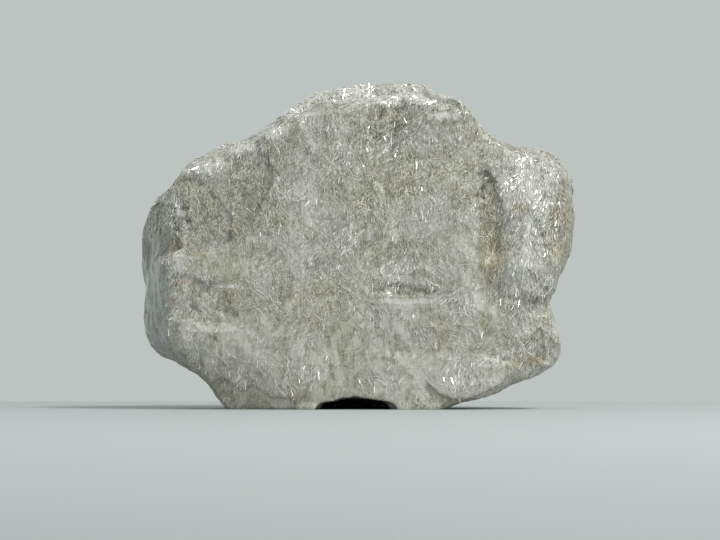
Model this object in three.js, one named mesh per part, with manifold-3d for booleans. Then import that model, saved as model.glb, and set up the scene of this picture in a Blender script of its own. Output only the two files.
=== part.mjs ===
// A talc specimen: one broken block of foliated talc that stands on its own flat foot.
// Millimetres, +Z up. The shown face looks towards -Y. The origin is the bottom centre of the block's box.
//
// The talc lies in sheets parallel to the shown face. So that face is broad and flat, the sides show the
// ends of the sheets as terraces, and lost sheets leave shallow scars with crisp edges.
import * as THREE from "three";
import { ImprovedNoise } from "three/addons/math/ImprovedNoise.js";
import { mergeVertices } from "three/addons/utils/BufferGeometryUtils.js";
import Module from "manifold-3d";

const wasm = await Module();
wasm.setup();

// Driving sizes
const blockWidth = 122;
const blockDepth = 56;
const blockHeight = 91;
const sheetThickness = 1.2; // of one sheet of talc, so of one step down or up on the shown face
const facePitch = 4.2; // distance between surface points on the broad faces
const sidePitch = 5.5; // the same on the sides, from front to back
const edgeWear = 0.6; // how far an edge between two facets is rounded off
const hollowHeight = 3.8; // of the dark hollow under the front of the foot

const frontY = -blockDepth / 2;
const backY = blockDepth / 2;
const heart = new THREE.Vector3(0, 0, 0.48 * blockHeight); // every surface point is seen from here

// The outline at the widest sheet, as x and z, clockwise from the left end of the foot
const outline = [
  [-33, -3], [-37.2, 2.8], [-39.2, 6.5], [-42.8, 9.6], [-48.3, 12.4], [-52.8, 14.4], [-56.4, 16.4],
  [-59.2, 19.4], [-60, 23.2], [-59.6, 36.6], [-58.9, 49.6], [-57.6, 53.2], [-55, 56.8], [-50.9, 59.5],
  [-49.3, 61.3], [-48.1, 64.2], [-46.3, 66], [-42.2, 68.7], [-37.7, 71.2], [-34.9, 72.6],
  [-30.8, 73.2], [-27.5, 74.4], [-23.4, 77.4], [-19.4, 80.6], [-13.7, 84.4], [-9.6, 87.6],
  [-3.9, 88.7], [3.4, 88.7], [9.9, 89.2], [12.8, 90.1], [17.3, 89.3], [20.6, 87.9], [22.4, 86],
  [27.9, 85.2], [30.2, 83.8], [32.2, 80.6], [35.4, 76.6], [38.6, 73.7], [41.7, 72.5], [49.9, 71.6],
  [54.8, 70.4], [56.8, 68.2], [58.2, 65.1], [59.9, 63.4], [60.4, 58.2], [60.2, 48.4], [59.2, 41.8],
  [57.4, 39], [56, 36.2], [55, 32.3], [52.9, 29.1], [54.6, 24.6], [56, 19.7], [56.6, 15.6], [54.2, 12],
  [48.4, 8.7], [42.6, 6.7], [39.3, 4.6], [34.4, 3], [28.4, 1.8], [24.4, 0.2], [22, -3],
];

// The edge of the shown face, inside the outline. What lies between the two are the bevels all round it.
const faceEdge = [
  [-33, -3], [-38, 3.6], [-39.8, 8.6], [-41.6, 11.3], [-44.2, 13.8], [-47.6, 17.4], [-49.5, 23],
  [-50, 34.4], [-51, 40.6], [-47.2, 45.8], [-47.1, 49.4], [-48.3, 55.6], [-49.2, 59], [-45.6, 62.8],
  [-41.4, 64.8], [-37, 66.2], [-32, 69.4], [-27, 73], [-20.8, 76.4], [-15.8, 81], [-10.8, 82.2],
  [-5.7, 82.9], [-0.7, 84.2], [4.4, 84.7], [14.4, 85.1], [21.1, 85.1], [28.2, 84.5], [29.4, 82.6],
  [31.2, 79.8], [34, 76.6], [36.6, 73.4], [42, 69.8], [45.7, 68.2], [53.8, 67.4], [55, 64.3],
  [55, 60.4], [54.6, 56.3], [55.3, 51.6], [56, 45.8], [55.4, 42], [53, 36], [52, 32], [50.6, 29.4],
  [52.6, 24.9], [54, 20], [54.8, 16.3], [52.6, 13], [47.4, 9.8], [41.8, 7.7], [38.6, 5.6], [34, 3.8],
  [28, 2.4], [24, 0.2], [22, -3],
];

// The edge of the back, which is smaller and rounder
const backEdge = [
  [-28, -3], [-33, 3.6], [-42, 10.4], [-50, 18], [-53, 27], [-54.4, 38], [-52.4, 48], [-47, 56.6],
  [-40.6, 63.4], [-31, 68], [-22, 73], [-11.4, 80.4], [-1, 82], [9, 83.6], [17.6, 81.6], [25.4, 77.6],
  [32.4, 70], [42, 66.4], [50, 60.4], [53.4, 50], [53, 40], [51.4, 28.4], [50, 17], [43, 8.6],
  [31, 2.6], [18, -3],
];

// How far behind the face's edge the widest sheet lies, by the direction from the heart: degrees up from
// the right, then millimetres
const bevelDepths = [
  [0, 19], [28, 15], [45, 5], [58, 7], [70, 13], [100, 14], [125, 8], [150, 8], [165, 16], [180, 30],
  [205, 26], [225, 11], [240, 4], [300, 4], [318, 8], [340, 14], [360, 19],
];

// Planes that the block broke along. Each passes through a point; turn is to the right of straight ahead and
// tilt is upwards, in degrees, so turn 0, tilt 0 looks at the viewer.
const facets = [
  facet(0, frontY + 0.9, 45, 0, 1.5), // shown face
  facet(-26, frontY + 1.2, 45, -6, 2), // left of the face
  facet(-36, frontY + 1.9, 14, -12, -12), // lower left of the face
  facet(44, -25.2, 55, 13, 5), // right lobe
  facet(46, -24.4, 18, 17, -5), // lower right block
  facet(6, 26.4, 46, 174, 6), // back
  facet(-4, 25.4, 22, 184, -13), // lower back
  facet(-34, 20, 44, -146, 2), // back left
  facet(-52, 11, 34, -116, -10), // back left corner
  facet(36, 18.5, 44, 147, -3), // back right
  facet(55, 6, 46, 114, 6), // back right corner
  facet(4, 13, 86, 172, 52), // back of the top
  facet(-31, 11, 71, -150, 42), // back of the upper left
  facet(38, 11, 71, 138, 40), // back of the right shoulder
  facet(-46, 8, 13, -130, -44), // back of the lower left
  facet(44, 9, 10, 138, -46), // back of the lower right
];

// Low places of the shown face, each along a line of x and z points: the face sinks by depth there,
// over a band of that half width.
const hollows = [
  { depth: 2.0, halfWidth: 4.2, line: [[37, 72], [36, 62], [37, 50], [38.5, 42], [37.5, 33]] },
  { depth: 1.5, halfWidth: 4, line: [[37, 34], [31, 24], [25, 16], [20, 7]] },
  { depth: 1.1, halfWidth: 8, line: [[8, 84], [10, 70]] },
  { depth: 0.9, halfWidth: 9, line: [[-30, 40], [-12, 36]] },
  { depth: 0.8, halfWidth: 8, line: [[20, 50], [34, 46]] },
];

// Swells of the shown face, as x, z, radius and height
const swells = [
  [46, 58, 8, 1.5],
  [46, 39, 7, 1.4],
  [47, 20, 8, 1.1],
  [8, 52, 16, 0.8],
  [-12, 18, 18, 0.8],
];

// Where sheets are lost, or still lie on top. Each border is drawn as seen from a turn and tilt, as
// millimetres right and up. Inside it the surface goes down by that many sheets, or up if the number is
// below 0; half a sheet is one that split. Some borders run on past the block, where they only close.
const steps = [
  {
    // Upper left step
    seen: [0, 0],
    sheets: 1,
    border: [[-26.4, 80], [-25.8, 72], [-22.4, 66.4], [-20.8, 61.8], [-24, 57.8], [-26.4, 54],
      [-26.4, 51.3], [-33, 49.4], [-33.6, 47], [-47, 44], [-66, 42], [-66, 90], [-40, 92]],
  },
  {
    // Olive step
    seen: [0, 0],
    sheets: 1.5,
    border: [[-38, 60], [-34.8, 55.6], [-33.4, 51], [-32.8, 46.8], [-37, 43.6], [-43, 41.4], [-66, 40.6],
      [-66, 76], [-44, 67]],
  },
  {
    // Pitted patch
    seen: [0, 0],
    sheets: 0.5,
    border: [[-39, 34.2], [-32.6, 34.8], [-34.6, 31], [-31.8, 27.4], [-32.2, 23], [-41.6, 22.9],
      [-48, 25], [-66, 27], [-66, 36], [-46, 36.6]],
  },
  {
    // Recess under the top
    seen: [0, 0],
    sheets: 1,
    border: [[4.4, 96], [4, 80], [3.4, 75], [6, 72.8], [8, 75.6], [10.4, 74.6], [14, 76.2],
      [15.4, 79.6], [20.6, 82.6], [24.6, 81.4], [27, 83], [28, 96]],
  },
  {
    // Deep part of the recess
    seen: [0, 0],
    sheets: 2,
    border: [[6, 96], [5.6, 80.6], [6.6, 78.6], [9.4, 79.4], [12.4, 80.8], [14, 83], [14.4, 96]],
  },
  {
    // Dark sliver
    seen: [0, 0],
    sheets: 0.5,
    border: [[3.6, 31.8], [9.2, 30.9], [13, 30.4], [18.6, 31.5], [23, 32], [17.5, 33], [11.4, 35],
      [7.8, 34.2]],
  },
  {
    // Hollow by the groove
    seen: [0, 0],
    sheets: 0.5,
    border: [[35.4, 66], [33.4, 58], [34.4, 49], [36.4, 42], [38, 38.4], [39.6, 43], [39.4, 48],
      [40.6, 54], [38.4, 60]],
  },
  {
    // Brown nick
    seen: [0, 0],
    sheets: 3,
    border: [[-46.6, 43.4], [-47.4, 46.6], [-50.4, 48.4], [-66, 49.6], [-66, 44.6], [-51.4, 42.4]],
  },
  {
    // Chipped rim of the foot
    seen: [0, 0],
    sheets: 1,
    border: [[-36, 8.6], [-31, 5.8], [-26.6, 6.6], [-22.6, 3.6], [-16.6, 3], [-13.6, -6], [-50, -6]],
  },
  {
    // Sheet lost from the lower right block
    seen: [0, 0],
    sheets: 1,
    border: [[44.6, 31.6], [45.4, 26.4], [43.4, 20.8], [46.4, 15.4], [51.2, 13.2], [70, 10], [70, 30]],
  },
  {
    // Lower right leaf
    seen: [0, 0],
    sheets: -1,
    border: [[19.8, 7.4], [22, 10.6], [25.6, 13.8], [31, 15.6], [36.4, 14.2], [40.6, 12.6],
      [44.6, 11.7], [44.8, 9.6], [41.4, 7.6], [37.2, 5.4], [31, 3.5], [26.4, 2.9]],
  },
  {
    // Olive edge of the lobe
    seen: [60, 0],
    sheets: 1,
    border: [[8, 60], [10, 53], [13, 45], [22, 42], [27, 48], [26, 56], [20, 63], [12, 64]],
  },
  {
    // Step of the back
    seen: [180, 0],
    sheets: 1,
    border: [[-70, 96], [-70, 60], [-44, 56.6], [-36, 60.4], [-27.4, 57], [-19, 61.6], [-10.6, 57],
      [-4, 49], [3.6, 46.4], [9, 38], [16.4, 34.6], [21, 26.4], [30, 23], [70, 20], [70, 96]],
  },
  {
    // Second step of the back
    seen: [180, 0],
    sheets: 2,
    border: [[14, 96], [15.6, 74], [21.4, 66], [19.4, 58], [27.4, 51.4], [36, 48.6], [44, 42],
      [70, 40], [70, 96]],
  },
  {
    // Lower step of the back
    seen: [180, 0],
    sheets: 1,
    border: [[-70, 33], [-41, 31.6], [-34, 27], [-26, 28.4], [-19.6, 22.6], [-21.6, 15], [-15, 9.4],
      [-14, -10], [-70, -10]],
  },
];

// Where the ends of the sheets stand back from the rim by some millimetres, as terraces round the sides
const terraces = [
  {
    // Bright ledge along the top
    seen: [0, 90],
    ends: 2,
    border: [[-30, -50], [-22, -27], [-13, -19.8], [-8, -17.4], [-2, -19.2], [5, -16.8], [12, -18.6],
      [19, -16.4], [25, -21], [31, -27], [40, -50]],
  },
  {
    // Second terrace of the top
    seen: [0, 90],
    ends: 2,
    border: [[-34, 12], [-22, 3.4], [-14, -0.4], [-4, 2.6], [4, -1.4], [13, 1.4], [21, 4.4], [34, 1.6],
      [48, 6], [50, 50], [-40, 50]],
  },
  {
    // Third terrace of the top
    seen: [0, 90],
    ends: 5,
    border: [[-40, 24], [-22, 14.4], [-12, 11], [-4, 13.6], [5, 15.4], [16, 11.4], [30, 15], [44, 22],
      [50, 50], [-50, 50]],
  },
  {
    // Terrace of the left side
    seen: [-90, 0],
    ends: 2,
    border: [[-30, 62], [-20, 58], [-13.6, 60], [-9.4, 52], [-11.6, 41], [-7.4, 32], [-10, 24],
      [-14, 14], [-30, 12], [-40, 30]],
  },
  {
    // Terrace of the right side
    seen: [90, 0],
    ends: 2,
    border: [[30, 66], [16, 68], [7, 64], [3.4, 56], [6, 47], [1.4, 39], [4, 31], [0.4, 22], [6, 13],
      [18, 9], [30, 12], [40, 40]],
  },
  {
    // Back terrace of the right side
    seen: [90, 0],
    ends: 5,
    border: [[30, 58], [19, 60], [13.6, 54], [16.4, 46], [12.4, 37], [15.4, 28], [13, 20], [20, 15],
      [30, 16], [40, 40]],
  },
];

// The mouth of the hollow under the foot, as x and z. Behind the front the sheets are broken off smaller and
// smaller, until the last one closes it: how far back each reaches, its size and its shift to the right.
const hollowMouth = [
  [-11, -1], [-9.8, 1.6], [-8.2, 2.2], [-5.6, 2.5], [-3, 3.5], [-1.8, 3.4], [-0.3, hollowHeight], [4.2, 3],
  [7.4, 2.3], [9, 1.4], [10.6, -1],
];
const hollowSheets = [[5, 1, 0], [9, 0.93, 0.4], [13.5, 0.84, -0.7], [17, 0.66, -1.4], [21, 0.46, 0.6]];

const noise = new ImprovedNoise();
const built = new Map();

// A plane through x, y and z that faces turn and tilt
function facet(x, y, z, turn, tilt) {
  return { at: new THREE.Vector3(x, y, z), normal: looking(turn, tilt).out };
}

// The directions of a view: out points from the stone to a viewer at turn and tilt
function looking(turn, tilt) {
  const [t, e] = [THREE.MathUtils.degToRad(turn), THREE.MathUtils.degToRad(tilt)];
  const out = new THREE.Vector3(Math.sin(t) * Math.cos(e), -Math.cos(t) * Math.cos(e), Math.sin(e));
  const right = new THREE.Vector3(Math.cos(t), Math.sin(t), 0);
  return { right, up: out.clone().cross(right), out };
}

// Noise whose lumps are about size across, with finer octaves on top
function lumps(p, size, octaves = 3) {
  let sum = 0;
  for (let octave = 0; octave < octaves; octave++) {
    const s = 2 ** octave / size;
    sum += noise.noise(p.x * s + 7.3, p.y * s + 3.1 * octave, p.z * s + 11.9) / 2 ** octave;
  }
  return sum;
}

// The larger of two values, with the corner between them rounded over reach
function softMax(a, b, reach) {
  const h = Math.max(reach - Math.abs(a - b), 0) / reach;
  return Math.max(a, b) + (h * h * reach) / 4;
}

// Reads a table of [position, value] rows between its rows
function readTable(table, position) {
  const i = Math.max(1, table.findIndex(([row]) => row >= position));
  const [[fromPosition, from], [toPosition, to]] = [table[i - 1], table[i]];
  return THREE.MathUtils.lerp(from, to, (position - fromPosition) / (toPosition - fromPosition));
}

// Distance from x, z to a line of points
function distanceToLine(x, z, line) {
  let nearest = Infinity;
  for (let i = 1; i < line.length; i++) {
    const [ax, az] = line[i - 1];
    const [dx, dz] = [line[i][0] - ax, line[i][1] - az];
    const t = THREE.MathUtils.clamp(((x - ax) * dx + (z - az) * dz) / (dx * dx + dz * dz), 0, 1);
    nearest = Math.min(nearest, Math.hypot(x - ax - t * dx, z - az - t * dz));
  }
  return nearest;
}

// How far a closed line of x and z points lies from the heart, in the direction of x, z
function reachOf(line, x, z) {
  for (let i = 0; i < line.length; i++) {
    const [ax, az] = [line[i][0] - heart.x, line[i][1] - heart.z];
    const next = line[(i + 1) % line.length];
    const [bx, bz] = [next[0] - heart.x, next[1] - heart.z];
    const [sideA, sideB] = [ax * z - az * x, bx * z - bz * x];
    if (sideA * sideB > 0 || sideA === sideB) continue;
    const t = sideA / (sideA - sideB);
    const [hitX, hitZ] = [ax + t * (bx - ax), az + t * (bz - az)];
    if (hitX * x + hitZ * z > 0) return Math.hypot(hitX, hitZ);
  }
  return 0;
}

// The rim round the sides: the face's edge at the front, the outline at the widest sheet and the back's edge
// at the back
function rimOver(p) {
  const [x, z] = [p.x - heart.x, p.z - heart.z];
  const degrees = THREE.MathUtils.euclideanModulo(THREE.MathUtils.radToDeg(Math.atan2(z, x)), 360);
  const widest = frontY + readTable(bevelDepths, degrees) + 1.5 * noise.noise(x * 0.07, 2.5, z * 0.07);
  const inFront = p.y < widest;
  const away = inFront ? (widest - p.y) / (widest - frontY) : ((p.y - widest) / (backY - widest)) ** 1.4;
  const endReach = reachOf(inFront ? faceEdge : backEdge, x, z);
  return Math.hypot(x, z) - THREE.MathUtils.lerp(reachOf(outline, x, z), endReach, away);
}

// What the hollows and swells of the shown face add to the distance over the surface
function faceRelief(p) {
  const facing = THREE.MathUtils.smoothstep(-p.y, 6, 18);
  let sum = 0;
  for (const { depth, halfWidth, line } of hollows) {
    sum += depth * Math.exp(-((distanceToLine(p.x, p.z, line) / halfWidth) ** 2));
  }
  for (const [x, z, radius, height] of swells) {
    sum -= height * Math.exp(-((Math.hypot(p.x - x, p.z - z) / radius) ** 2));
  }
  return sum * facing;
}

// Above 0 outside the stone and below 0 inside it. The faces can be sunk by some millimetres, and the ends of
// the sheets can stand back by some.
function overSurface(p, sunk, ends) {
  const rim = rimOver(p) + ends;
  let face = -Infinity;
  for (const { at, normal } of facets) {
    const above = normal.x * (p.x - at.x) + normal.y * (p.y - at.y) + normal.z * (p.z - at.z);
    face = softMax(face, above, edgeWear);
  }
  const behind = THREE.MathUtils.smoothstep(p.y, -16, 8);
  const roughFace = sunk + faceRelief(p) + (0.5 + 1.3 * behind) * lumps(p, 22) + 0.5 * lumps(p, 7);
  const bands = lumps(new THREE.Vector3(p.x, 2.4 * p.y, p.z), 24);
  const roughRim = 0.25 * lumps(p, 13) + 0.3 * lumps(p, 6) + 2.6 * behind * Math.max(0, 0.35 + bands);
  return softMax(rim + roughRim, face + roughFace, edgeWear);
}

// A whole stone: a box's grid of points, each moved out from the heart to the surface
function wholeStone(sunk, ends) {
  const [wide, deep, high] = [blockWidth / facePitch, blockDepth / sidePitch, blockHeight / facePitch];
  const box = new THREE.BoxGeometry(
    0.95 * blockWidth, 0.86 * blockDepth, 0.92 * blockHeight,
    Math.round(wide), Math.round(deep), Math.round(high),
  );
  box.deleteAttribute("normal");
  box.deleteAttribute("uv");
  const stone = mergeVertices(box, 1e-3);
  const points = stone.getAttribute("position");
  const [p, ray] = [new THREE.Vector3(), new THREE.Vector3()];
  for (let i = 0; i < points.count; i++) {
    ray.fromBufferAttribute(points, i);
    ray.x += 0.3 * facePitch * lumps(ray, 3.3, 1);
    ray.z += 0.3 * facePitch * lumps(ray, 2.9, 1);
    ray.normalize();
    let [near, far] = [0, blockWidth];
    while (far - near > 1e-4) {
      const reach = (near + far) / 2;
      const isOutside = overSurface(p.copy(heart).addScaledVector(ray, reach), sunk, ends) > 0;
      if (isOutside) far = reach;
      else near = reach;
    }
    points.setXYZ(i, ...p.copy(heart).addScaledVector(ray, near).toArray());
  }
  stone.setIndex(shorterDiagonals(stone.index.array, points));
  return solidOf(stone);
}

// The whole stone with its faces sunk and its sheets' ends standing back by that much, built once for each
function surfaceOf(sunk, ends) {
  const key = `${sunk} ${ends}`;
  if (!built.has(key)) built.set(key, wholeStone(sunk, ends));
  return built.get(key);
}

// The same faces, with each grid square split along the shorter of its two diagonals
function shorterDiagonals(index, points) {
  const [p, q] = [new THREE.Vector3(), new THREE.Vector3()];
  const between = (a, b) => p.fromBufferAttribute(points, a).distanceTo(q.fromBufferAttribute(points, b));
  const split = [];
  for (let i = 0; i < index.length; i += 6) {
    const [a, b, d] = [index[i], index[i + 1], index[i + 2]];
    const c = index[i + 4];
    if (between(b, d) <= between(a, c)) split.push(a, b, d, b, c, d);
    else split.push(a, b, c, a, c, d);
  }
  return split;
}

// A border with points added about every step, which stray from it as a broken edge does
function brokenEdge(border, step = 5, stray = 0.6) {
  const edge = [];
  border.forEach(([ax, ay], i) => {
    const [bx, by] = border[(i + 1) % border.length];
    const count = Math.max(1, Math.round(Math.hypot(bx - ax, by - ay) / step));
    for (let k = 0; k < count; k++) {
      const [x, y] = [ax + ((bx - ax) * k) / count, ay + ((by - ay) * k) / count];
      const [swayX, swayY] = [noise.noise(x * 0.9, y * 0.9, 0.5), noise.noise(x * 0.9, y * 0.9, 9.5)];
      edge.push(new THREE.Vector2(x + 2 * stray * swayX, y + 2 * stray * swayY));
    }
  });
  return edge;
}

// A bar with a broken border as seen from a direction, from start to start + length out from the heart
function bar(seen, edge, start, length) {
  const { right, up, out } = looking(...seen);
  const geometry = new THREE.ExtrudeGeometry(new THREE.Shape(edge), { depth: length, bevelEnabled: false });
  geometry.translate(0, 0, start + heart.dot(out));
  geometry.applyMatrix4(new THREE.Matrix4().makeBasis(right, up, out));
  return solidOf(geometry);
}

function solidOf(geometry) {
  const plain = geometry.clone();
  plain.deleteAttribute("normal");
  plain.deleteAttribute("uv");
  const merged = mergeVertices(plain, 1e-4);
  return new wasm.Manifold(new wasm.Mesh({
    numProp: 3,
    vertProperties: new Float32Array(merged.getAttribute("position").array),
    triVerts: new Uint32Array(merged.index.array),
  }));
}

function geometryOf(solid) {
  const { vertProperties, triVerts } = solid.getMesh();
  const geometry = new THREE.BufferGeometry();
  geometry.setAttribute("position", new THREE.BufferAttribute(vertProperties, 3));
  geometry.setIndex(new THREE.BufferAttribute(triVerts, 1));
  return geometry;
}

const barStart = 6; // how far from the heart a step's bar starts
let stone = surfaceOf(0, 0);
for (const { seen, sheets, border } of steps) {
  const inside = bar(seen, brokenEdge(border), barStart, blockWidth);
  const surface = surfaceOf(sheets * sheetThickness, 0);
  stone = sheets > 0 ? stone.subtract(inside.subtract(surface)) : stone.add(inside.intersect(surface));
}
for (const { seen, ends, border } of terraces) {
  const inside = bar(seen, brokenEdge(border), barStart, blockWidth);
  stone = stone.subtract(inside.subtract(surfaceOf(0, ends)));
}
for (const [reach, size, right] of hollowSheets) {
  const mouth = brokenEdge(hollowMouth.map(([x, z]) => [x * size + right, z * size]), 3, 0.2 * reach / 21);
  stone = stone.subtract(bar([0, 0], mouth, -frontY - reach, blockWidth));
}
const ground = new THREE.BoxGeometry(2 * blockWidth, 2 * blockWidth, 20).translate(0, 0, -10);
stone = stone.subtract(solidOf(ground));

const geometry = geometryOf(stone);
geometry.computeBoundingBox();
const { min, max } = geometry.boundingBox;
geometry.translate(-(min.x + max.x) / 2, -(min.y + max.y) / 2, -min.z);
geometry.scale(blockWidth / (max.x - min.x), blockDepth / (max.y - min.y), blockHeight / (max.z - min.z));

const talc = new THREE.MeshStandardMaterial({ color: 0xb9bbae, roughness: 0.45, metalness: 0 });
const block = new THREE.Mesh(geometry, talc);
block.name = "talc_block";

const specimen = new THREE.Group();
specimen.add(block);
export default specimen;
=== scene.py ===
# The talc specimen for rendering: the block with its fine relief, and the flakes and fibres that lie on it.
# Metres, in the frame of the CAD model: +Z up, the shown face towards -Y.
import math

import bmesh
import bpy
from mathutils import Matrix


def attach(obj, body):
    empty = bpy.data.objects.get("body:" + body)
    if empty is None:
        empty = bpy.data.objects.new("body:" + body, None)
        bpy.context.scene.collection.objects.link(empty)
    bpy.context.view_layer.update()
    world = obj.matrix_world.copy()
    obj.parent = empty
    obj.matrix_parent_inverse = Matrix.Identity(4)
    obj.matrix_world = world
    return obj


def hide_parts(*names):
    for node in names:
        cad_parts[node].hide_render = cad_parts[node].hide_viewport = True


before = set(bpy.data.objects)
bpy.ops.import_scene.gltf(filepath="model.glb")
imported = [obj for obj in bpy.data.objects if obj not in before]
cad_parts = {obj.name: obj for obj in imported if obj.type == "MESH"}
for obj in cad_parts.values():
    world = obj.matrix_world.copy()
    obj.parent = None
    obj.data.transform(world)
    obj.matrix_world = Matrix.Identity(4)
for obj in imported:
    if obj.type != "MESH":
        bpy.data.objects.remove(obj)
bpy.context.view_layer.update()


class Wire:
    # one output of a node, so that maths on it reads as an expression
    def __init__(self, nodes, socket):
        self.nodes, self.socket = nodes, socket

    def math(self, operation, *values):
        return self.nodes.add("ShaderNodeMath", {"operation": operation}, dict(enumerate(values)))

    def __add__(self, other):
        return self.math("ADD", self, other)

    def __sub__(self, other):
        return self.math("SUBTRACT", self, other)

    def __mul__(self, other):
        return self.math("MULTIPLY", self, other)

    def __radd__(self, other):
        return self.math("ADD", other, self)

    def __rsub__(self, other):
        return self.math("SUBTRACT", other, self)

    def __rmul__(self, other):
        return self.math("MULTIPLY", other, self)

    def __abs__(self):
        return self.math("ABSOLUTE", self)

    def most(self, other):
        return self.math("MAXIMUM", self, other)

    def floor(self):
        return self.math("FLOOR", self)

    # 0 at low, top at high and a soft ramp between; low may be the larger one
    def ramp(self, low, high, top=1.0):
        values = {"Value": self, "From Min": low, "From Max": high, "To Max": top}
        return self.nodes.add("ShaderNodeMapRange", {"interpolation_type": "SMOOTHSTEP"}, values)


class Nodes:
    # adds nodes to one tree
    def __init__(self, tree):
        self.tree = tree

    # settings go on the node first, then values or wires go to its sockets, by name or by number
    def add(self, kind, settings={}, values={}, out=None):
        node = self.tree.nodes.new(kind)
        for key, value in settings.items():
            setattr(node, key, value)
        for key, value in values.items():
            socket = node.inputs[key] if isinstance(key, int) else self.shown(node.inputs, key)
            if isinstance(value, Wire):
                self.tree.links.new(value.socket, socket)
            else:
                socket.default_value = value
        return Wire(self, self.shown(node.outputs, out)) if len(node.outputs) else node

    def shown(self, sockets, name=None):
        return next(s for s in sockets if s.enabled and name in (None, s.name))

    def vector(self, operation, *values, out=None):
        return self.add("ShaderNodeVectorMath", {"operation": operation}, dict(enumerate(values)), out)

    def scaled(self, vector, factor):
        return self.add("ShaderNodeVectorMath", {"operation": "SCALE"}, {"Vector": vector, "Scale": factor})

    def split(self, vector):
        node = self.add("ShaderNodeSeparateXYZ", {}, {"Vector": vector}).socket.node
        return [Wire(self, socket) for socket in node.outputs]

    # lumps of that size in metres along x, y and z, about 0 to 1
    def noise(self, place, size, detail=2.0, roughness=0.5, out="Fac"):
        inLumps = self.vector("DIVIDE", place, size)
        values = {"Vector": inLumps, "Scale": 1.0, "Detail": detail, "Roughness": roughness}
        return self.add("ShaderNodeTexNoise", {}, values, out)

    def mix(self, factor, a, b):
        return self.add("ShaderNodeMix", {"data_type": "RGBA"}, {"Factor": factor, "A": a, "B": b})

    # a place turned about the line that looks at the shown face, so that stretched noise runs at a slant
    def slanted(self, place, degrees):
        values = {"Vector": place, "Angle": math.radians(degrees)}
        return self.add("ShaderNodeVectorRotate", {"rotation_type": "Y_AXIS"}, values)


# Cleavage plates: each cell of the pattern is a small plane with its own tilt and level, about -1 to 1
def plates(n, place, size, levels=0.7):
    inCells = n.vector("DIVIDE", place, size)
    sway = n.vector("SUBTRACT", n.noise(inCells, (1.1, 1.1, 1.1), 2.0, out="Color"), (0.5, 0.5, 0.5))
    inCells = n.vector("ADD", inCells, n.scaled(sway, 0.9))
    cells = n.add("ShaderNodeTexVoronoi", {}, {"Vector": inCells, "Scale": 1.0}).socket.node
    centre, color = Wire(n, cells.outputs["Position"]), Wire(n, cells.outputs["Color"])
    tilt = n.vector("SUBTRACT", color, (0.5, 0.5, 0.5))
    slope = n.vector("DOT_PRODUCT", n.vector("SUBTRACT", inCells, centre), tilt, out="Value")
    return 1.8 * slope + levels * (n.split(color)[0] - 0.5)


# A smooth value broken into flat treads with steep risers
def terraces(value, count, rise=0.16):
    steps = value * count
    whole = steps.floor()
    return (whole + (steps - whole).ramp(0.5 - rise, 0.5 + rise)) * (1 / count)


# Threads that run along the long side of size, 1 on a thread and 0 between them
def threads(n, place, size, degrees):
    return 1 - abs(n.noise(n.slanted(place, degrees), size, 2.0) * 2 - 1)


# 1 where the surface lies along the sheets, on the front and the back, and 0 where it shows their ends
def alongSheets(n, normal):
    return abs(n.split(normal)[1]).ramp(0.5, 0.8)


# 1 inside the ellipses of a table and 0 outside them, seen from the front, with ragged edges
def areas(n, place, table, soft=0.6):
    ragged = (n.noise(place, (0.005, 0.005, 0.006), 4.0, 0.65) - 0.5) * 1.4
    mask = None
    for x, z, wide, high, strength in table:
        across, up = 2000 / wide, 2000 / high  # half widths and half heights in a metre
        toMiddle = (-x * 0.001 * across, 0, -z * 0.001 * up)
        fromMiddle = n.vector("MULTIPLY_ADD", place, (across, 0, up), toMiddle)
        squared = n.vector("DOT_PRODUCT", fromMiddle, fromMiddle, out="Value")
        one = (squared + ragged).ramp(1 + soft, 1 - soft, strength)
        mask = one if mask is None else mask.most(one)
    return mask


# 1 on the front half of the block and 0 on its back half
def inFront(n, place):
    return n.split(place)[1].ramp(0.012, 0.002)


# 1 on the smooth facet at the left end
def smoothSide(n, place):
    x, _, z = n.split(place)
    middle, halfHigh, bulge, left = 0.031, 0.017, 0.003, 0.0512
    fromMiddle = (z - middle) * (1 / halfHigh)
    edge = x + left + fromMiddle * fromMiddle * bulge
    return edge.ramp(0.0004, -0.0006) * z.ramp(0.0500, 0.0475) * z.ramp(0.013, 0.018)


# The same place, or straight above it on the floor where it lies below
def overFloor(n, place):
    x, y, z = n.split(place)
    return n.add("ShaderNodeCombineXYZ", {}, {"X": x, "Y": y, "Z": z.most(0.0)})


def newTree(name, numbers):
    tree = bpy.data.node_groups.new(name, "GeometryNodeTree")
    tree.interface.new_socket("Geometry", in_out="INPUT", socket_type="NodeSocketGeometry")
    for key in numbers:
        tree.interface.new_socket(key, in_out="INPUT", socket_type="NodeSocketFloat")
    tree.interface.new_socket("Geometry", in_out="OUTPUT", socket_type="NodeSocketGeometry")
    n = Nodes(tree)
    given = tree.nodes.new("NodeGroupInput")
    return n, {socket.name: Wire(n, socket) for socket in given.outputs if socket.name}


def endTree(n, geometry):
    n.tree.links.new(geometry.socket, n.tree.nodes.new("NodeGroupOutput").inputs["Geometry"])
    return n.tree


def newObject(name, mesh):
    obj = bpy.data.objects.new(name, mesh)
    bpy.context.scene.collection.objects.link(obj)
    return obj


# The evaluated object as a plain mesh
def bakedMesh(obj, name):
    graph = bpy.context.evaluated_depsgraph_get()
    mesh = bpy.data.meshes.new_from_object(obj.evaluated_get(graph), depsgraph=graph)
    mesh.name = name
    return mesh


def runTree(obj, tree, numbers, name):
    modifier = obj.modifiers.new(name, "NODES")
    modifier.node_group = tree
    for item in tree.interface.items_tree:
        if item.in_out == "INPUT" and item.name in numbers:
            modifier[item.identifier] = numbers[item.name]
    mesh = bakedMesh(obj, name)
    obj.modifiers.remove(modifier)
    return mesh


def runModifier(obj, kind, settings):
    modifier = obj.modifiers.new(kind, kind)
    for key, value in settings.items():
        setattr(modifier, key, value)
    mesh = bakedMesh(obj, obj.name)
    obj.modifiers.remove(modifier)
    obj.data = mesh


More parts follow.
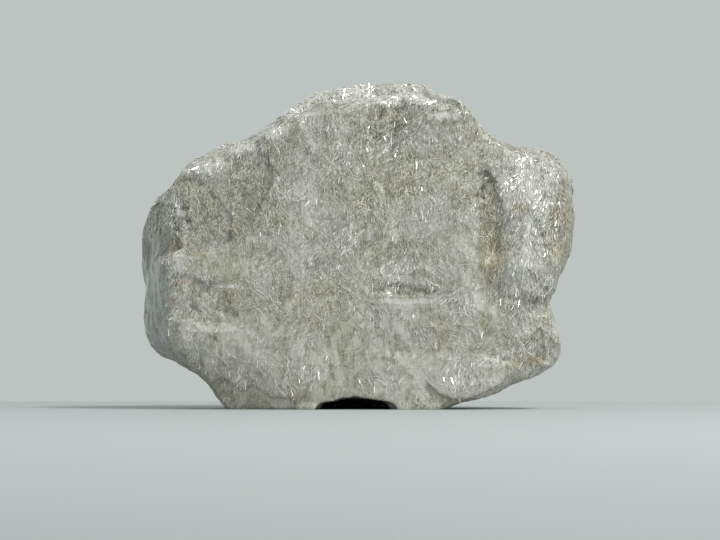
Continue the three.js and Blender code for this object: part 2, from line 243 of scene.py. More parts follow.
def triangleCount(obj):
    return sum(len(p.vertices) - 2 for p in obj.data.polygons)


# Colours of the stone, with the painted shade and painted light laid on it

stoneAndLightColors = {
    "pale": (0.50, 0.49, 0.43, 1),
    "grey": (0.335, 0.325, 0.28, 1),
    "sage": (0.29, 0.275, 0.175, 1),
    "olive": (0.150, 0.138, 0.070, 1),
    "slateAndShade": (0.225, 0.23, 0.21, 1),
    "thread": (0.78, 0.765, 0.70, 1),
    "glint": (0.95, 0.95, 0.92, 1),
    "bright": (0.70, 0.69, 0.64, 1),
    "gapAndShade": (0.085, 0.078, 0.042, 1),
    "ochre": (0.25, 0.195, 0.08, 1),
    "rust": (0.22, 0.125, 0.045, 1),
    "hollow": (0.012, 0.012, 0.009, 1),
}

# Where the block is darker or paler, stained, milky and smooth, crumpled or full of bright flakes, where
# shade is painted in the hollow under the foot, in recesses and under ledges, and where light is painted on
# the ledges and rims.
# The rows are x, z, width and height in millimetres seen from the front, and how strong.
# The rows at (9, 78) and (22, 80), in the recess under the top ledge, are painted shade as well as olive
# stone.
oliveAreas = [
    (-31, 62, 15, 18, 1.0), (-40, 54, 20, 16, 0.9), (-52, 55, 12, 14, 0.9), (-27, 51, 13, 7, 0.8),
    (-20, 70, 12, 16, 0.6), (9, 78, 15, 13, 1.0), (22, 80, 18, 7, 0.8), (37, 48, 6.5, 38, 0.9),
    (27, 32, 12, 8, 0.4), (-47, 9, 12, 14, 0.9), (-38, 5, 8, 12, 0.6), (8, 62, 30, 24, 0.75),
    (-43, 29, 18, 9, 0.5), (34, 66, 9, 14, 0.7), (58, 54, 6, 18, 0.9), (14, 45, 16, 8, 0.3),
    (-12, 24, 16, 9, 0.35), (-52, 47, 12, 5, 0.7), (50, 26, 12, 10, 0.5), (50, 17, 14, 8, 0.5),
    (13, 32.6, 17, 4, 1.0), (-4, 67, 22, 18, 0.6), (44, 50, 5, 16, 0.4), (-54, 20, 9, 18, 0.6),
]
# The rows along the top ledge and the upper left rim are painted light, which falls there from above; the
# others are the stone's milky pale colour.
paleAndLedgeLitAreas = [
    (48, 62, 18, 24, 0.8), (48, 44, 9, 18, 0.7), (31, 38, 12, 34, 0.55), (34, 10, 26, 11, 0.6),
    (5, 87, 60, 6, 0.9), (-40, 68, 30, 6, 0.8), (-14, 14, 64, 22, 0.6), (50, 23, 17, 14, 0.9),
    (47, 14, 18, 7, 0.6), (-46, 22, 6, 16, 0.3), (-4, 50, 10, 12, 0.4), (-17, 46, 12, 10, 0.25),
    (18, 15, 16, 14, 0.35),
]
ochreStains = [
    (-53, 45.5, 8, 3.6, 0.9), (-11.5, 25, 4.5, 3.4, 0.7), (37, 57.5, 6, 4, 0.9), (-18, 6, 3.6, 7, 0.6),
    (24, 3, 10, 3, 0.5), (-48, 47, 6, 3, 0.7), (46, 56, 7, 4.4, 0.8), (47, 13.5, 10, 4, 0.8),
    (37, 48, 6.0, 26, 0.9), (57, 51, 7, 22, 0.8), (-47, 35.5, 9, 3, 0.6), (-34, 48, 3, 11, 0.6),
    (-22, 58, 3, 9, 0.5), (29, 26, 3, 12, 0.5), (-33, 32, 6, 4, 0.5), (24, 20, 3, 14, 0.4),
    (29, 55, 5, 3, 0.3), (-15, 32, 12, 4, 0.3), (32, 76, 4, 6, 0.5),
]
rustStains = [
    (-50.0, 36.2, 4, 3.6, 1.0), (-52.4, 30, 3.6, 3.4, 0.8), (-50, 45.8, 3.4, 1.6, 0.7),
    (47, 13.6, 5, 1.6, 0.8), (36.8, 57.6, 3.4, 2, 0.8), (57.4, 62, 2.4, 5, 0.7), (46.6, 57, 3, 1.6, 0.6),
]
# Partly painted shade: the recess and thin lines under the top ledge, the line under the small ledge at z 32
# mm and the groove are darkened as shade; the rest is the stone's own darker colour.
darkAndShadedAreas = [
    (-52.5, 55, 11, 13, 0.9), (9, 79, 13, 9, 0.8), (36.5, 62, 6, 9, 0.8), (37.2, 47, 4.4, 24, 0.7),
    (58.0, 52, 6, 23, 0.8), (-29, 61, 7, 13, 0.5), (-23.5, 62, 3.6, 11, 0.7), (13, 32.4, 17, 2.4, 0.7),
    (25, 79, 13, 3.4, 0.6), (-38, 51, 12, 7, 0.4), (57, 45, 4, 6, 0.6), (51, 18, 9, 4, 0.4),
    (0, 79, 8, 6, 0.3), (-41, 26.5, 15, 5, 0.35), (14, 83.9, 27, 1.8, 0.8), (-8, 84.4, 17, 1.2, 0.4),
    (45, 57, 2.2, 14, 0.7), (51.5, 60, 2.0, 15, 0.6), (54.6, 50, 2.2, 15, 0.7), (43, 66.5, 4, 4, 0.5),
    (49.6, 48, 2.0, 11, 0.6), (41.5, 50, 2.0, 12, 0.5), (-46, 11, 11, 12, 0.35), (37, 52, 3.0, 6, 0.6),
    (55, 62, 3, 6, 0.5),
]
# Mostly painted light: the top ledge lit from above, painted highlights along the upper left rim and on the
# edges of small ledges and leaves, and painted glint streaks on the right lobe; a few rows are pale bits of
# the stone.
paleAndLitAreas = [
    (5, 87.8, 50, 5, 1.0), (-43, 67.5, 14, 4, 0.9), (-33, 72.8, 14, 4, 0.9), (-25, 77.4, 11, 4.4, 0.9),
    (-17, 83, 12, 4, 0.9), (24.5, 81.5, 11, 2.2, 0.9), (-40, 22.4, 17, 1.7, 0.8),
    (-36.4, 34.4, 8.5, 1.3, 0.8), (13.5, 30.1, 19, 1.5, 0.7), (36, 13, 9, 2.6, 0.8),
    (50, 62, 12, 18, 0.5), (31, 30, 5, 15, 0.4), (33, 6, 20, 7, 0.4), (-49.5, 41, 3.4, 8, 0.7),
    (-53, 58, 5, 4, 0.8), (-50, 55, 2.6, 6, 0.8), (-54.4, 52, 1.8, 5, 0.8), (44, 40, 5, 15, 0.4),
    (48.4, 60, 2.6, 17, 0.8), (53, 61, 2.0, 13, 0.7), (47.2, 46, 2.6, 12, 0.8), (41.8, 62, 3, 9, 0.5),
    (57, 47, 2, 8, 0.5), (-27, 47, 8, 3, 0.3), (18, 54, 22, 10, 0.3), (-13, 58, 12, 26, 0.25),
]
milkyAreas = [
    (-10, 13, 82, 28, 1.0), (28, 34, 26, 34, 0.85), (-36, 40, 18, 10, 0.5), (10, 26, 26, 14, 0.8),
    (-30, 20, 24, 14, 0.7),
]
# Painted shadow: the inside of the hollow under the foot is painted near black.
hollowAreas = [(1.4, 0, 18, 6.2, 1), (-5.6, 0, 9, 4.4, 1), (8, 0, 7, 5.0, 1)]
crumpledAreas = [
    (58, 54, 8, 20, 1), (-52, 56, 13, 14, 0.9), (-43, 67, 16, 7, 0.8), (-32, 73, 14, 6, 0.6),
    (52, 18, 14, 14, 0.7), (4, 89, 60, 6, 0.7), (-47, 8, 14, 14, 0.5), (31, 84, 10, 8, 0.6),
]
glitterAreas = [
    (48, 60, 18, 28, 1.0), (48, 38, 10, 18, 0.8), (-53, 55, 9, 14, 1.0), (-2.4, 48, 5, 9, 0.9),
    (-41, 37.6, 6, 3, 0.8), (-13, 10, 6, 6, 0.6), (-33, 9, 5, 6, 0.5), (10, 38, 6, 8, 0.6),
    (8, 74, 12, 6, 0.6), (19, 76, 8, 8, 0.6), (44, 16, 14, 5, 0.7), (29, 29, 8, 8, 0.6),
    (3, 73, 5, 8, 0.7), (-4, 70, 6, 8, 0.5), (30, 9, 12, 6, 0.5), (14, 42, 8, 5, 0.5),
    (-20, 62, 5, 8, 0.4), (-51, 39, 5, 8, 0.8), (41, 56, 6, 10, 0.7), (21, 58, 9, 6, 0.4),
    (-42, 68, 13, 5, 1.0), (-32, 73, 13, 4, 1.0), (-24, 77.5, 10, 5, 1.0), (-17, 83, 10, 5, 1.0),
]


def newMaterial(name, constants):
    material = bpy.data.materials.new(name)
    material.use_nodes = True
    n = Nodes(material.node_tree)
    shader = material.node_tree.nodes["Principled BSDF"]
    for key, value in constants.items():
        shader.inputs[key].default_value = value
    return material, n, shader


def feed(n, shader, **wires):
    for key, wire in wires.items():
        n.tree.links.new(wire.socket, shader.inputs[key.replace("_", " ")])


# How large the clouds, grains and facets of colour are, in metres along x, y and z
colorSizes = {
    "cloud": (0.010, 0.012, 0.012),
    "hue": (0.014, 0.014, 0.018),
    "blotch": (0.0028, 0.003, 0.0036),
    "speckle": (0.0009, 0.0009, 0.0013),
    "facet": (0.0017, 0.0017, 0.0026),
    "broad facet": (0.0046, 0.0046, 0.008),
}


# The stone's colour with painted shade and light, one group for all the materials: milky, grey and olive
# clouds, facets with their own tones, stains where water got in, and painted shade and highlights in
# recesses, on ledges and on the left facet
def stoneAndLightColorTree():
    tree = bpy.data.node_groups.new("stone colour and painted light", "ShaderNodeTree")
    tree.interface.new_socket("Color", in_out="OUTPUT", socket_type="NodeSocketColor")
    n = Nodes(tree)
    place = n.add("ShaderNodeTexCoord", out="Object")
    colors, sizes = stoneAndLightColors, colorSizes
    front = inFront(n, place)
    cloud = n.noise(place, sizes["cloud"], 4.0, 0.55)
    elsewhere = n.vector("ADD", place, (0.3, 0.1, 0.7))  # so that hues and clouds don't fall together
    hue = n.noise(elsewhere, sizes["hue"], 3.0, 0.55)
    blotch = n.noise(place, sizes["blotch"], 3.0, 0.6)
    speckle = n.noise(place, sizes["speckle"], 3.0, 0.65)
    ofBack = (1 - front) * 0.6
    olive = (areas(n, place, oliveAreas) * front).most(hue.ramp(0.5, 0.62) * ofBack)
    # pale stone, with painted light along the top ledge and the upper left rim
    pale = (areas(n, place, paleAndLedgeLitAreas) * front).most(cloud.ramp(0.52, 0.64) * ofBack)
    ochre = (areas(n, place, ochreStains) * front).most((cloud * hue).ramp(0.30, 0.36) * ofBack)
    color = n.mix(hue.ramp(0.4, 0.62), colors["grey"], colors["sage"])
    color = n.mix((cloud * 0.6 + blotch * 0.4).ramp(0.46, 0.58) * 0.8, color, colors["pale"])
    color = n.mix((cloud * 0.3 + blotch * 0.7).ramp(0.48, 0.36) * 0.6, color, colors["olive"])
    color = n.mix(pale * blotch.ramp(0.3, 0.5), color, colors["pale"])
    color = n.mix(olive * (blotch * 0.6 + speckle * 0.4).ramp(0.68, 0.42), color, colors["olive"])
    facet = plates(n, place, sizes["facet"], 1.2)
    broad = plates(n, place, sizes["broad facet"], 1.2)
    color = n.mix(facet.ramp(0.1, 0.9) * 0.5, color, colors["pale"])
    color = n.mix(facet.ramp(-0.1, -0.9) * 0.55, color, colors["olive"])
    color = n.mix(broad.ramp(0.1, 0.9) * 0.25, color, colors["pale"])
    color = n.mix(broad.ramp(-0.1, -0.9) * 0.3, color, colors["olive"])
    mottled = blotch * 0.5 + speckle * 0.5
    # painted light on the lit ledges and rims and painted glints, with pale bits of the stone
    bright = areas(n, place, paleAndLitAreas) * front * mottled.ramp(0.36, 0.5)
    # painted shade in the recesses and under the ledges, with dark spots of the stone
    dark = areas(n, place, darkAndShadedAreas) * front * mottled.ramp(0.56, 0.46)
    color = n.mix(dark * 0.75, n.mix(bright * 0.9, color, colors["bright"]), colors["gapAndShade"])
    color = n.mix(ochre * speckle.ramp(0.3, 0.55), color, colors["ochre"])
    color = n.mix(areas(n, place, rustStains) * front * speckle.ramp(0.34, 0.5), color, colors["rust"])
    # the smooth left facet: its own slate face, painted darker and bluer too as shade and reflected
    # backdrop, since it faces away from the light
    n.add("NodeGroupOutput", {}, {"Color": n.mix(smoothSide(n, place) * 0.85, color, colors["slateAndShade"])})
    return tree


stoneAndLightColorGroup = {"node_tree": stoneAndLightColorTree()}


# The block's own finish. The sizes of its grain are in metres along x, y and z, and the leans of its threads
# are in degrees.
blockFinish = {"IOR": 1.57, "Coat Roughness": 0.15}
blockGrain = {
    "upright thread": (0.0004, 0.0006, 0.0026), "upright lean": 6,
    "slanted thread": (0.0004, 0.0006, 0.0022), "left lean": -40, "right lean": 52,
    "grain": (0.00042, 0.00045, 0.0007),
    "plate": (0.0009, 0.0009, 0.0014),
    "gloss": (0.003, 0.003, 0.005),
    "bump": 0.0003,
}


def blockMaterial():
    sizes = blockGrain
    material, n, shader = newMaterial("talcBlock", blockFinish)
    place = n.add("ShaderNodeTexCoord", out="Object")
    relief = n.add("ShaderNodeAttribute", {"attribute_name": "relief"}, out="Fac")
    upright = threads(n, place, sizes["upright thread"], sizes["upright lean"])
    leaning = threads(n, place, sizes["slanted thread"], sizes["left lean"])
    crossing = threads(n, place, sizes["slanted thread"], sizes["right lean"])
    choose = n.noise(place, (0.004, 0.004, 0.004), 2.0)
    chooseMore = n.noise(n.vector("ADD", place, (0.2, 0.5, 0.1)), (0.005, 0.005, 0.005), 2.0)
    thread = upright * choose.ramp(0.42, 0.54) + leaning * choose.ramp(0.54, 0.42)
    thread = thread.most(crossing * chooseMore.ramp(0.5, 0.6))
    plain = areas(n, place, milkyAreas).most(smoothSide(n, place)) * inFront(n, place)
    grainy = 1 - 0.85 * plain
    grains = n.noise(place, sizes["grain"], 2.0, 0.7)
    color = n.add("ShaderNodeGroup", stoneAndLightColorGroup)
    color = n.mix(grains.ramp(0.46, 0.33) * grainy * 0.6, color, stoneAndLightColors["gapAndShade"])
    color = n.mix(grains.ramp(0.56, 0.68) * grainy * 0.5, color, stoneAndLightColors["thread"])
    color = n.mix(thread.ramp(0.88, 0.97) * (0.3 + 0.4 * grainy), color, stoneAndLightColors["thread"])
    # painted shade: darker where the relief sinks, in dents and cracks
    color = n.mix(relief.ramp(0.36, 0.05) * 0.5, color, stoneAndLightColors["gapAndShade"])
    # painted shadow: the hollow under the foot is painted near black, on its front half only
    shadowInHollow = areas(n, place, hollowAreas, 0.12) * n.split(place)[1].ramp(0.012, 0.006)
    color = n.mix(shadowInHollow, color, stoneAndLightColors["hollow"])
    height = plates(n, place, sizes["plate"]) * 0.6 * grainy + grains * grainy + thread * 0.3
    bump = n.add("ShaderNodeBump", {}, {"Strength": 0.8, "Distance": sizes["bump"], "Height": height})
    gloss = n.noise(place, sizes["gloss"], 3.0, 0.6)
    feed(n, shader, Base_Color=color, Roughness=0.5 - 0.25 * gloss.ramp(0.35, 0.65),
         Coat_Weight=0.8 * gloss.ramp(0.4, 0.55), Normal=bump)
    return material


# Flakes and fibres: paler than the stone, each with its own tone
def grainMaterial(name, finish):
    constants = {"IOR": 1.6, "Roughness": finish["roughness"], "Metallic": finish["metallic"],
                 "Coat Weight": finish["coat"], "Coat Roughness": 0.08}
    material, n, shader = newMaterial(name, constants)
    stone = n.add("ShaderNodeGroup", stoneAndLightColorGroup)
    tone = n.add("ShaderNodeAttribute", {"attribute_name": "tone"}, out="Fac")
    pale = finish["least pale"] + (finish["most pale"] - finish["least pale"]) * tone * tone
    feed(n, shader, Base_Color=n.mix(pale, stone, stoneAndLightColors[finish["color"]]))
    return material


# The block: the CAD node remeshed finely, with the relief of broken sheets

blockStyle = {
    "Swell Height": 0.0007,
    "Plate Height": 0.0002,
    "Small Plate Height": 0.00012,
    "Thread Height": 0.00005,
    "Column Height": 0.0009,
    "Sheet End Height": 0.0013,
    "Pit Depth": 0.0006,
}
reliefSizes = {  # in metres along x, y and z
    "swell": (0.018, 0.02, 0.026),
    "plate": (0.006, 0.006, 0.011),
    "small plate": (0.0022, 0.0024, 0.0036),
    "thread": (0.0011, 0.0014, 0.009),
    "column": (0.0034, 0.004, 0.022),
    "sheet end": (0.02, 0.0024, 0.02),
    "pit": (0.0026, 0.003, 0.0032),
}
blockMeshing = {"voxel": 0.00044, "smoothing": 1, "triangles": 194000}
pitAreas = [(-41, 28, 19, 11, 0.5), (-52, 53, 12, 14, 1), (35, 62, 6, 12, 1), (50, 16, 12, 7, 0.8)]


def reliefTree():
    n, given = newTree("talc relief", blockStyle)
    sizes = reliefSizes
    place = n.add("GeometryNodeInputPosition")
    normal = n.add("GeometryNodeInputNormal")
    x, _, z = n.split(place)
    front = inFront(n, place)
    along = alongSheets(n, normal)
    smooth = smoothSide(n, place)
    rightLobe = x.ramp(0.038, 0.042) * z.ramp(0.022, 0.030)
    crumpled = rightLobe.most(areas(n, place, crumpledAreas)).most(1 - front)
    swell = terraces(n.noise(place, sizes["swell"], 4.0, 0.55), 9)
    large = plates(n, place, sizes["plate"])
    small = plates(n, place, sizes["small plate"])
    thread = threads(n, place, sizes["thread"], 6) - 0.6
    column = threads(n, place, sizes["column"], 4) - 0.7
    ends = terraces(n.noise(place, sizes["sheet end"], 4.0, 0.6), 8)
    pit = n.noise(place, sizes["pit"], 2.0).ramp(0.56, 0.66)
    pitted = areas(n, place, pitAreas) * front
    onSheets = (swell - 0.5) * given["Swell Height"] + large * given["Plate Height"] * (1 + 2 * crumpled)
    onSheets = onSheets + thread * given["Thread Height"] + column * crumpled * given["Column Height"]
    rise = along * onSheets + (1 - along) * (ends - 0.5) * given["Sheet End Height"]
    rise = rise + small * given["Small Plate Height"] * (1 + crumpled) - pit * pitted * given["Pit Depth"]
    rise = rise * z.ramp(0.0003, 0.0016) * (1 - 0.8 * smooth)  # the foot stays flat
    moved = n.vector("ADD", place, n.scaled(normal, rise))
    marked = n.add("GeometryNodeStoreNamedAttribute", {"data_type": "FLOAT", "domain": "POINT"},
                   {"Geometry": given["Geometry"], "Name": "relief", "Value": rise * 700 + 0.5})
    raised = n.add("GeometryNodeSetPosition", {}, {"Geometry": marked, "Position": overFloor(n, moved)})
    return endTree(n, raised)


def makeBlock():
    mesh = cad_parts["talc_block"].data.copy()
    work = bmesh.new()
    work.from_mesh(mesh)
    bmesh.ops.remove_doubles(work, verts=work.verts, dist=1e-7)
    work.to_mesh(mesh)
    work.free()
    block = newObject("talcBlock", mesh)
    runModifier(block, "REMESH", {"mode": "VOXEL", "voxel_size": blockMeshing["voxel"]})
    runModifier(block, "SMOOTH", {"factor": 0.5, "iterations": blockMeshing["smoothing"]})
    block.data = runTree(block, reliefTree(), blockStyle, "talcBlock")
    keep = blockMeshing["triangles"] / triangleCount(block)
    runModifier(block, "DECIMATE", {"ratio": min(1.0, keep)})
    block.data.polygons.foreach_set("use_smooth", [True] * len(block.data.polygons))
    block.data.materials.clear()
    block.data.materials.append(blockMaterial())
    print("block", triangleCount(block), "triangles")
    return block


block = makeBlock()
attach(block, "root")
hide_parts("talc_block")


# Grains on the block: splinters, flakes and threads that follow the sheets, more or less raised at one end

def splinterShape(n):
    sizes = {"Vertices": 3, "Side Segments": 1, "Radius Top": 0.16, "Radius Bottom": 0.5, "Depth": 1.0}
    cone = n.add("GeometryNodeMeshCone", {"fill_type": "NGON"}, sizes, "Mesh")
    return n.add("GeometryNodeTransform", {}, {"Geometry": cone, "Translation": (0, 0, -0.5)})


def flakeShape(n):
    sizes = {"Vertices": 6, "Side Segments": 1, "Radius": 0.5, "Depth": 1.0}
    disc = n.add("GeometryNodeMeshCylinder", {"fill_type": "NGON"}, sizes, "Mesh")
    # its long side goes along Z and its flat sides face Y, as the splinter's do
    return n.add("GeometryNodeTransform", {}, {"Geometry": disc, "Rotation": (math.radians(90), 0, 0)})


# A line that becomes a thin tube once it lies on the block
def lineShape(n):
    line = n.add("GeometryNodeCurvePrimitiveLine", {}, {"Start": (0, 0, -0.5), "End": (0, 0, 0.5)})
    return n.add("GeometryNodeResampleCurve", {}, {"Curve": line, "Count": 7})


def between(n, low, high, seed):
    return n.add("FunctionNodeRandomValue", {"data_type": "FLOAT"}, {"Min": low, "Max": high, "Seed": seed})


# Copies of a shape all over the block, turned along the sheets, made real and with a tone of their own each
def scattered(n, given, shape, where, seed):
    place = n.add("GeometryNodeInputPosition")
    surface = n.add("GeometryNodeInputNormal")
    x, _, z = n.split(place)
    overHollow = z.ramp(0.0070, 0.0062) * abs(x).ramp(0.0135, 0.0125)
    nearFloor = z.ramp(0.0026, 0.0012).most(overHollow)
    density = given["Per Square Metre"] * where(n, place, surface) * (1 - nearFloor)
    points = n.add("GeometryNodeDistributePointsOnFaces", {},
                   {"Mesh": given["Geometry"], "Density": density, "Seed": seed})
    normal = Wire(n, points.socket.node.outputs["Normal"])
    sheetLean, ledgeLean = 0.16, 6  # the fibres stand up, a little to the right, and lie sideways on ledges
    toRight = sheetLean + ledgeLean * n.split(normal)[2].ramp(0.5, 0.8)
    upright = n.add("ShaderNodeCombineXYZ", {}, {"X": toRight, "Z": 1.0})
    outwards = n.vector("DOT_PRODUCT", upright, normal, out="Value")
    lying = n.vector("NORMALIZE", n.vector("SUBTRACT", upright, n.scaled(normal, outwards)))
    across = n.vector("CROSS_PRODUCT", normal, lying)
    wander = (n.noise(place, (0.009, 0.009, 0.009), 2.0) - 0.5) * given["Wander"]
    turn = wander + between(n, -1.0, 1.0, seed + 1) * given["Spread"]
    cosine, sine = turn.math("COSINE", turn), turn.math("SINE", turn)
    direction = n.vector("ADD", n.scaled(lying, cosine), n.scaled(across, sine))
    raised = n.vector("ADD", direction, n.scaled(normal, between(n, -1.0, 0.1, seed + 2) * given["Lift"]))
    leaning = n.vector("ADD", normal, n.scaled(across, between(n, -1.0, 1.0, seed + 3) * given["Lean"]))
    turned = n.add("FunctionNodeAlignRotationToVector", {"axis": "Z"}, {"Vector": raised})
    turned = n.add("FunctionNodeAlignRotationToVector", {"axis": "Y", "pivot_axis": "Z"},
                   {"Rotation": turned, "Vector": leaning})
    long = given["Length"] * (0.35 + between(n, 0.0, 1.0, seed + 4) * between(n, 0.2, 1.3, seed + 5))
    wide = given["Width"] * between(n, 0.5, 1.4, seed + 6)
    size = n.add("ShaderNodeCombineXYZ", {}, {"X": wide, "Y": given["Thickness"], "Z": long})
    copies = n.add("GeometryNodeInstanceOnPoints", {},
                   {"Points": points, "Instance": shape(n), "Rotation": turned, "Scale": size})
    toned = n.add("GeometryNodeStoreNamedAttribute", {"data_type": "FLOAT", "domain": "INSTANCE"},
                  {"Geometry": copies, "Name": "tone", "Value": between(n, 0.0, 1.0, seed + 7)})
    return n.add("GeometryNodeRealizeInstances", {}, {"Geometry": toned})


# Three directions of noise about a place, each from -0.5 to 0.5
def swayOf(n, place, size):
    return n.vector("SUBTRACT", n.noise(place, (size, size, size), 1.0, out="Color"), (0.5, 0.5, 0.5))


def grainTree(name, style, shape, material, where, seed):
    n, given = newTree(name, style)
    place = n.add("GeometryNodeInputPosition")
    grains = scattered(n, given, shape, where, seed)
    moved = n.vector("ADD", place, n.scaled(swayOf(n, place, 0.0004), given["Raggedness"]))
    bent = n.add("GeometryNodeSetPosition", {}, {"Geometry": grains, "Position": overFloor(n, moved)})
    return endTree(n, n.add("GeometryNodeSetMaterial", {}, {"Geometry": bent, "Material": material}))


# Each line is bent by noise, laid back on the block and given a thin tapered body
def threadTree(name, style, shape, material, where, seed):
    n, given = newTree(name, style)
    place = n.add("GeometryNodeInputPosition")
    lines = scattered(n, given, shape, where, seed)
    bent = n.add("GeometryNodeSetPosition", {},
                 {"Geometry": lines, "Offset": n.scaled(swayOf(n, place, 0.003), given["Raggedness"])})
    nearest = n.add("GeometryNodeProximity", {"target_element": "FACES"},
                    {"Geometry": given["Geometry"]}, "Position")
    surface = n.add("GeometryNodeInputNormal")
    outwards = n.add("GeometryNodeSampleNearestSurface", {"data_type": "FLOAT_VECTOR"},
                     {"Mesh": given["Geometry"], "Value": surface, "Sample Position": place})
    onBlock = n.vector("ADD", nearest, n.scaled(outwards, given["Lift"]))
    laid = n.add("GeometryNodeSetPosition", {}, {"Geometry": bent, "Position": overFloor(n, onBlock)})
    along = n.add("GeometryNodeSplineParameter", out="Factor")
    taper = 1.2 - 3.6 * (along - 0.5) * (along - 0.5)
    ring = n.add("GeometryNodeCurvePrimitiveCircle", {"mode": "RADIUS"},
                 {"Resolution": 3, "Radius": 0.5}, "Curve")
    body = {"Curve": laid, "Profile Curve": ring, "Scale": given["Width"] * taper, "Fill Caps": True}
    tubes = n.add("GeometryNodeCurveToMesh", {}, body)
    return endTree(n, n.add("GeometryNodeSetMaterial", {}, {"Geometry": tubes, "Material": material}))


# 1 where the stone is full of bright flakes
def glitter(n, place):
    return areas(n, place, glitterAreas).most(n.split(place)[2].ramp(0.0846, 0.0858)) * inFront(n, place)


# The front, with the ledges that glitter
def shownFace(n, place, normal):
    ledges = n.split(normal)[2].ramp(0.2, 0.5) * glitter(n, place)
    return n.split(normal)[1].ramp(-0.35, -0.6).most(ledges)


# All but the shown face, and few on the smooth left side
def otherSides(n, place, normal):
    return n.split(normal)[1].ramp(-0.6, -0.35) * (1 - 0.95 * smoothSide(n, place))


# Many where the face is grainy and few where it is milky
def grainyFace(n, place, normal):
    few = 0.88 * areas(n, place, milkyAreas) * inFront(n, place)
    return shownFace(n, place, normal) * (1 - few)


# In tufts with bare stone between them
def inTufts(n, place, normal):
    few = 0.5 * areas(n, place, milkyAreas) * inFront(n, place)
    tuft = n.noise(place, (0.008, 0.008, 0.008), 3.0).ramp(0.46, 0.6)
    return shownFace(n, place, normal) * tuft * (1 - few)


# In clumps, and thick where the stone glitters
def clumped(where):
    def density(n, place, normal):
        clump = n.noise(place, (0.006, 0.007, 0.008), 3.0).ramp(0.5, 0.62)
        return where(n, place, normal) * (0.16 * clump + 0.7 * glitter(n, place))
    return density


def makeGrains(name, style, makeTree, shape, material, where, seed):
    tree = makeTree(name, style, shape, material, where, seed)
    grains = newObject(name, runTree(block, tree, style, name))
    print(name, triangleCount(grains), "triangles")
    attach(grains, "root")


splinterFinish = {
    "color": "thread", "least pale": 0.0, "most pale": 1.0, "roughness": 0.35, "metallic": 0.0, "coat": 0.3,
}
threadFinish = {
    "color": "thread", "least pale": 0.3, "most pale": 1.0, "roughness": 0.3, "metallic": 0.0, "coat": 0.4,
}
# the near-white colour of the glint splinters is a painted highlight, on top of their real gloss
glintFinish = {
    "color": "glint", "least pale": 0.2, "most pale": 1.0, "roughness": 0.22, "metallic": 0.0, "coat": 1.0,
}
flakeFinish = {
    "color": "glint", "least pale": 0.1, "most pale": 0.8, "roughness": 0.16, "metallic": 0.3, "coat": 1.0,
}
splinterMaterial = grainMaterial("talcSplinters", splinterFinish)
threadMaterial = grainMaterial("talcThreads", threadFinish)
glintMaterial = grainMaterial("talcGlints", glintFinish)
flakeMaterial = grainMaterial("talcFlakes", flakeFinish)
print("materials of the grains made")

faceSplinters = {
    "Per Square Metre": 0.75e6, "Length": 0.0026, "Width": 0.00014, "Thickness": 0.00006,
    "Wander": 7.0, "Spread": 1.5, "Lift": 0.10, "Lean": 0.6, "Raggedness": 0.0001,
}
makeGrains("faceSplinters", faceSplinters, grainTree, splinterShape, splinterMaterial, grainyFace, 11)

glintSplinters = {
    "Per Square Metre": 4.4e6, "Length": 0.0030, "Width": 0.00028, "Thickness": 0.00010,
    "Wander": 2.0, "Spread": 0.5, "Lift": 0.22, "Lean": 0.6, "Raggedness": 0.0001,
}
inClumps = clumped(shownFace)
makeGrains("glintSplinters", glintSplinters, grainTree, splinterShape, glintMaterial, inClumps, 17)

faceThreads = {  # a line has no thickness or side, and its width is given once it is bent
    "Per Square Metre": 1.3e6, "Length": 0.0068, "Width": 0.00016, "Thickness": 1.0,
    "Wander": 5.0, "Spread": 0.9, "Lift": 0.00006, "Lean": 0.0, "Raggedness": 0.0028,
}
makeGrains("faceThreads", faceThreads, threadTree, lineShape, threadMaterial, inTufts, 19)

faceFlakes = {
    "Per Square Metre": 2.7e6, "Length": 0.0034, "Width": 0.00030, "Thickness": 0.00006,
    "Wander": 2.0, "Spread": 0.5, "Lift": 0.35, "Lean": 0.6, "Raggedness": 0.00008,
}
makeGrains("faceFlakes", faceFlakes, grainTree, flakeShape, flakeMaterial, inClumps, 23)

otherSplinters = {
    "Per Square Metre": 7.0e5, "Length": 0.0022, "Width": 0.00022, "Thickness": 0.00008,
    "Wander": 1.5, "Spread": 0.5, "Lift": 0.05, "Lean": 0.5, "Raggedness": 0.0001,
}
makeGrains("otherSplinters", otherSplinters, grainTree, splinterShape, threadMaterial, otherSides, 37)

otherFlakes = {
    "Per Square Metre": 9.0e5, "Length": 0.0022, "Width": 0.0007, "Thickness": 0.00006,
    "Wander": 1.5, "Spread": 0.6, "Lift": 0.3, "Lean": 0.6, "Raggedness": 0.0004,
}
makeGrains("otherFlakes", otherFlakes, grainTree, flakeShape, flakeMaterial, clumped(otherSides), 41)


# Floor, light and camera

stageStyle = {
    "floor": {"Base Color": (0.46, 0.487, 0.497, 1), "Roughness": 0.6},
    "background": (0.505, 0.548, 0.53, 1),
    "nearEdge": -1.4, "farEdge": 0.142, "halfWidth": 1.0, "level": -0.00002,
}


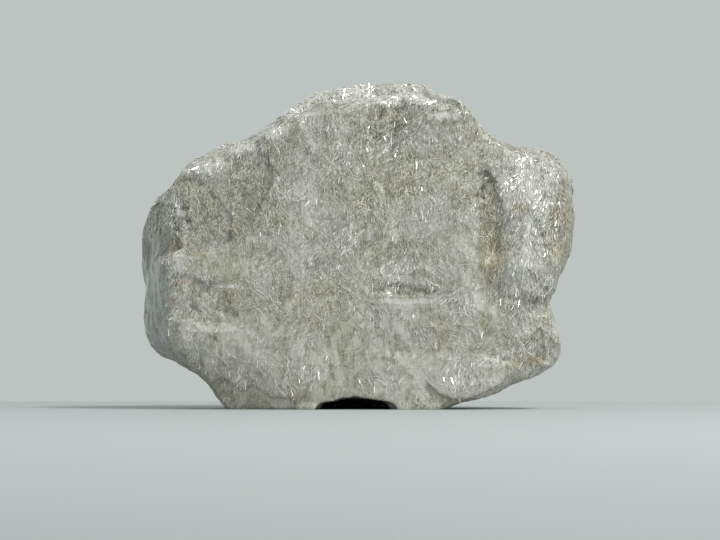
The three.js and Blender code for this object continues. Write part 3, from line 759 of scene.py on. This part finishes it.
def makeFloor():
    mesh = bpy.data.meshes.new("floor")
    near, far, side = stageStyle["nearEdge"], stageStyle["farEdge"], stageStyle["halfWidth"]
    corners = [(-side, near), (side, near), (side, far), (-side, far)]
    mesh.from_pydata([(x, y, stageStyle["level"]) for x, y in corners], [], [(0, 1, 2, 3)])
    floor = newObject("floor", mesh)
    mesh.materials.append(newMaterial("paleFloor", stageStyle["floor"])[0])


def makeLight(name, place, size, power, color, aim=(0.0, 0.0, 0.045)):
    light = bpy.data.lights.new(name, "AREA")
    light.shape = "DISK"
    light.size = size
    light.energy = power
    light.color = color
    lamp = newObject(name, light)
    lamp.location = place
    dx, dy, dz = [a - b for a, b in zip(aim, place)]
    lamp.rotation_euler = (math.atan2(math.hypot(dx, dy), -dz), 0, math.atan2(dy, dx) - math.pi / 2)


def makeWorld():
    world = bpy.data.worlds.new("studio")
    world.use_nodes = True
    world.node_tree.nodes["Background"].inputs["Color"].default_value = stageStyle["background"]
    bpy.context.scene.world = world


# The camera stands far off, at the height of the specimen's lower part, and looks up a little
view = {
    "distance": 1.5, "height": 0.022, "right": 0.0008,
    "width": 720, "middleRow": 270, "horizonRow": 330.3,  # in pixels
    "pixelsPerMetre": 3600, "faceForward": 0.026,  # at the shown face, which stands that far in front
}


def makeCamera():
    camera = bpy.data.cameras.new("camera")
    focal = view["pixelsPerMetre"] * (view["distance"] - view["faceForward"])  # in pixels
    camera.sensor_width = 36
    camera.lens = focal / view["width"] * camera.sensor_width
    camera.clip_start, camera.clip_end = 0.05, 20
    eye = newObject("camera", camera)
    eye.location = (view["right"], -view["distance"], view["height"])
    tilt = math.atan((view["horizonRow"] - view["middleRow"]) / focal)
    eye.rotation_euler = (math.pi / 2 + tilt, 0, 0)
    bpy.context.scene.camera = eye


makeFloor()
makeWorld()
makeLight("keyLight", (0.45, -0.42, 0.9), 0.32, 7.5, (1.0, 0.985, 0.965))
makeLight("frontLight", (0.55, -1.15, 0.5), 0.6, 2.0, (1.0, 0.99, 0.98))
makeCamera()
bpy.context.scene.view_settings.view_transform = "Standard"
print("floor, light and camera made")
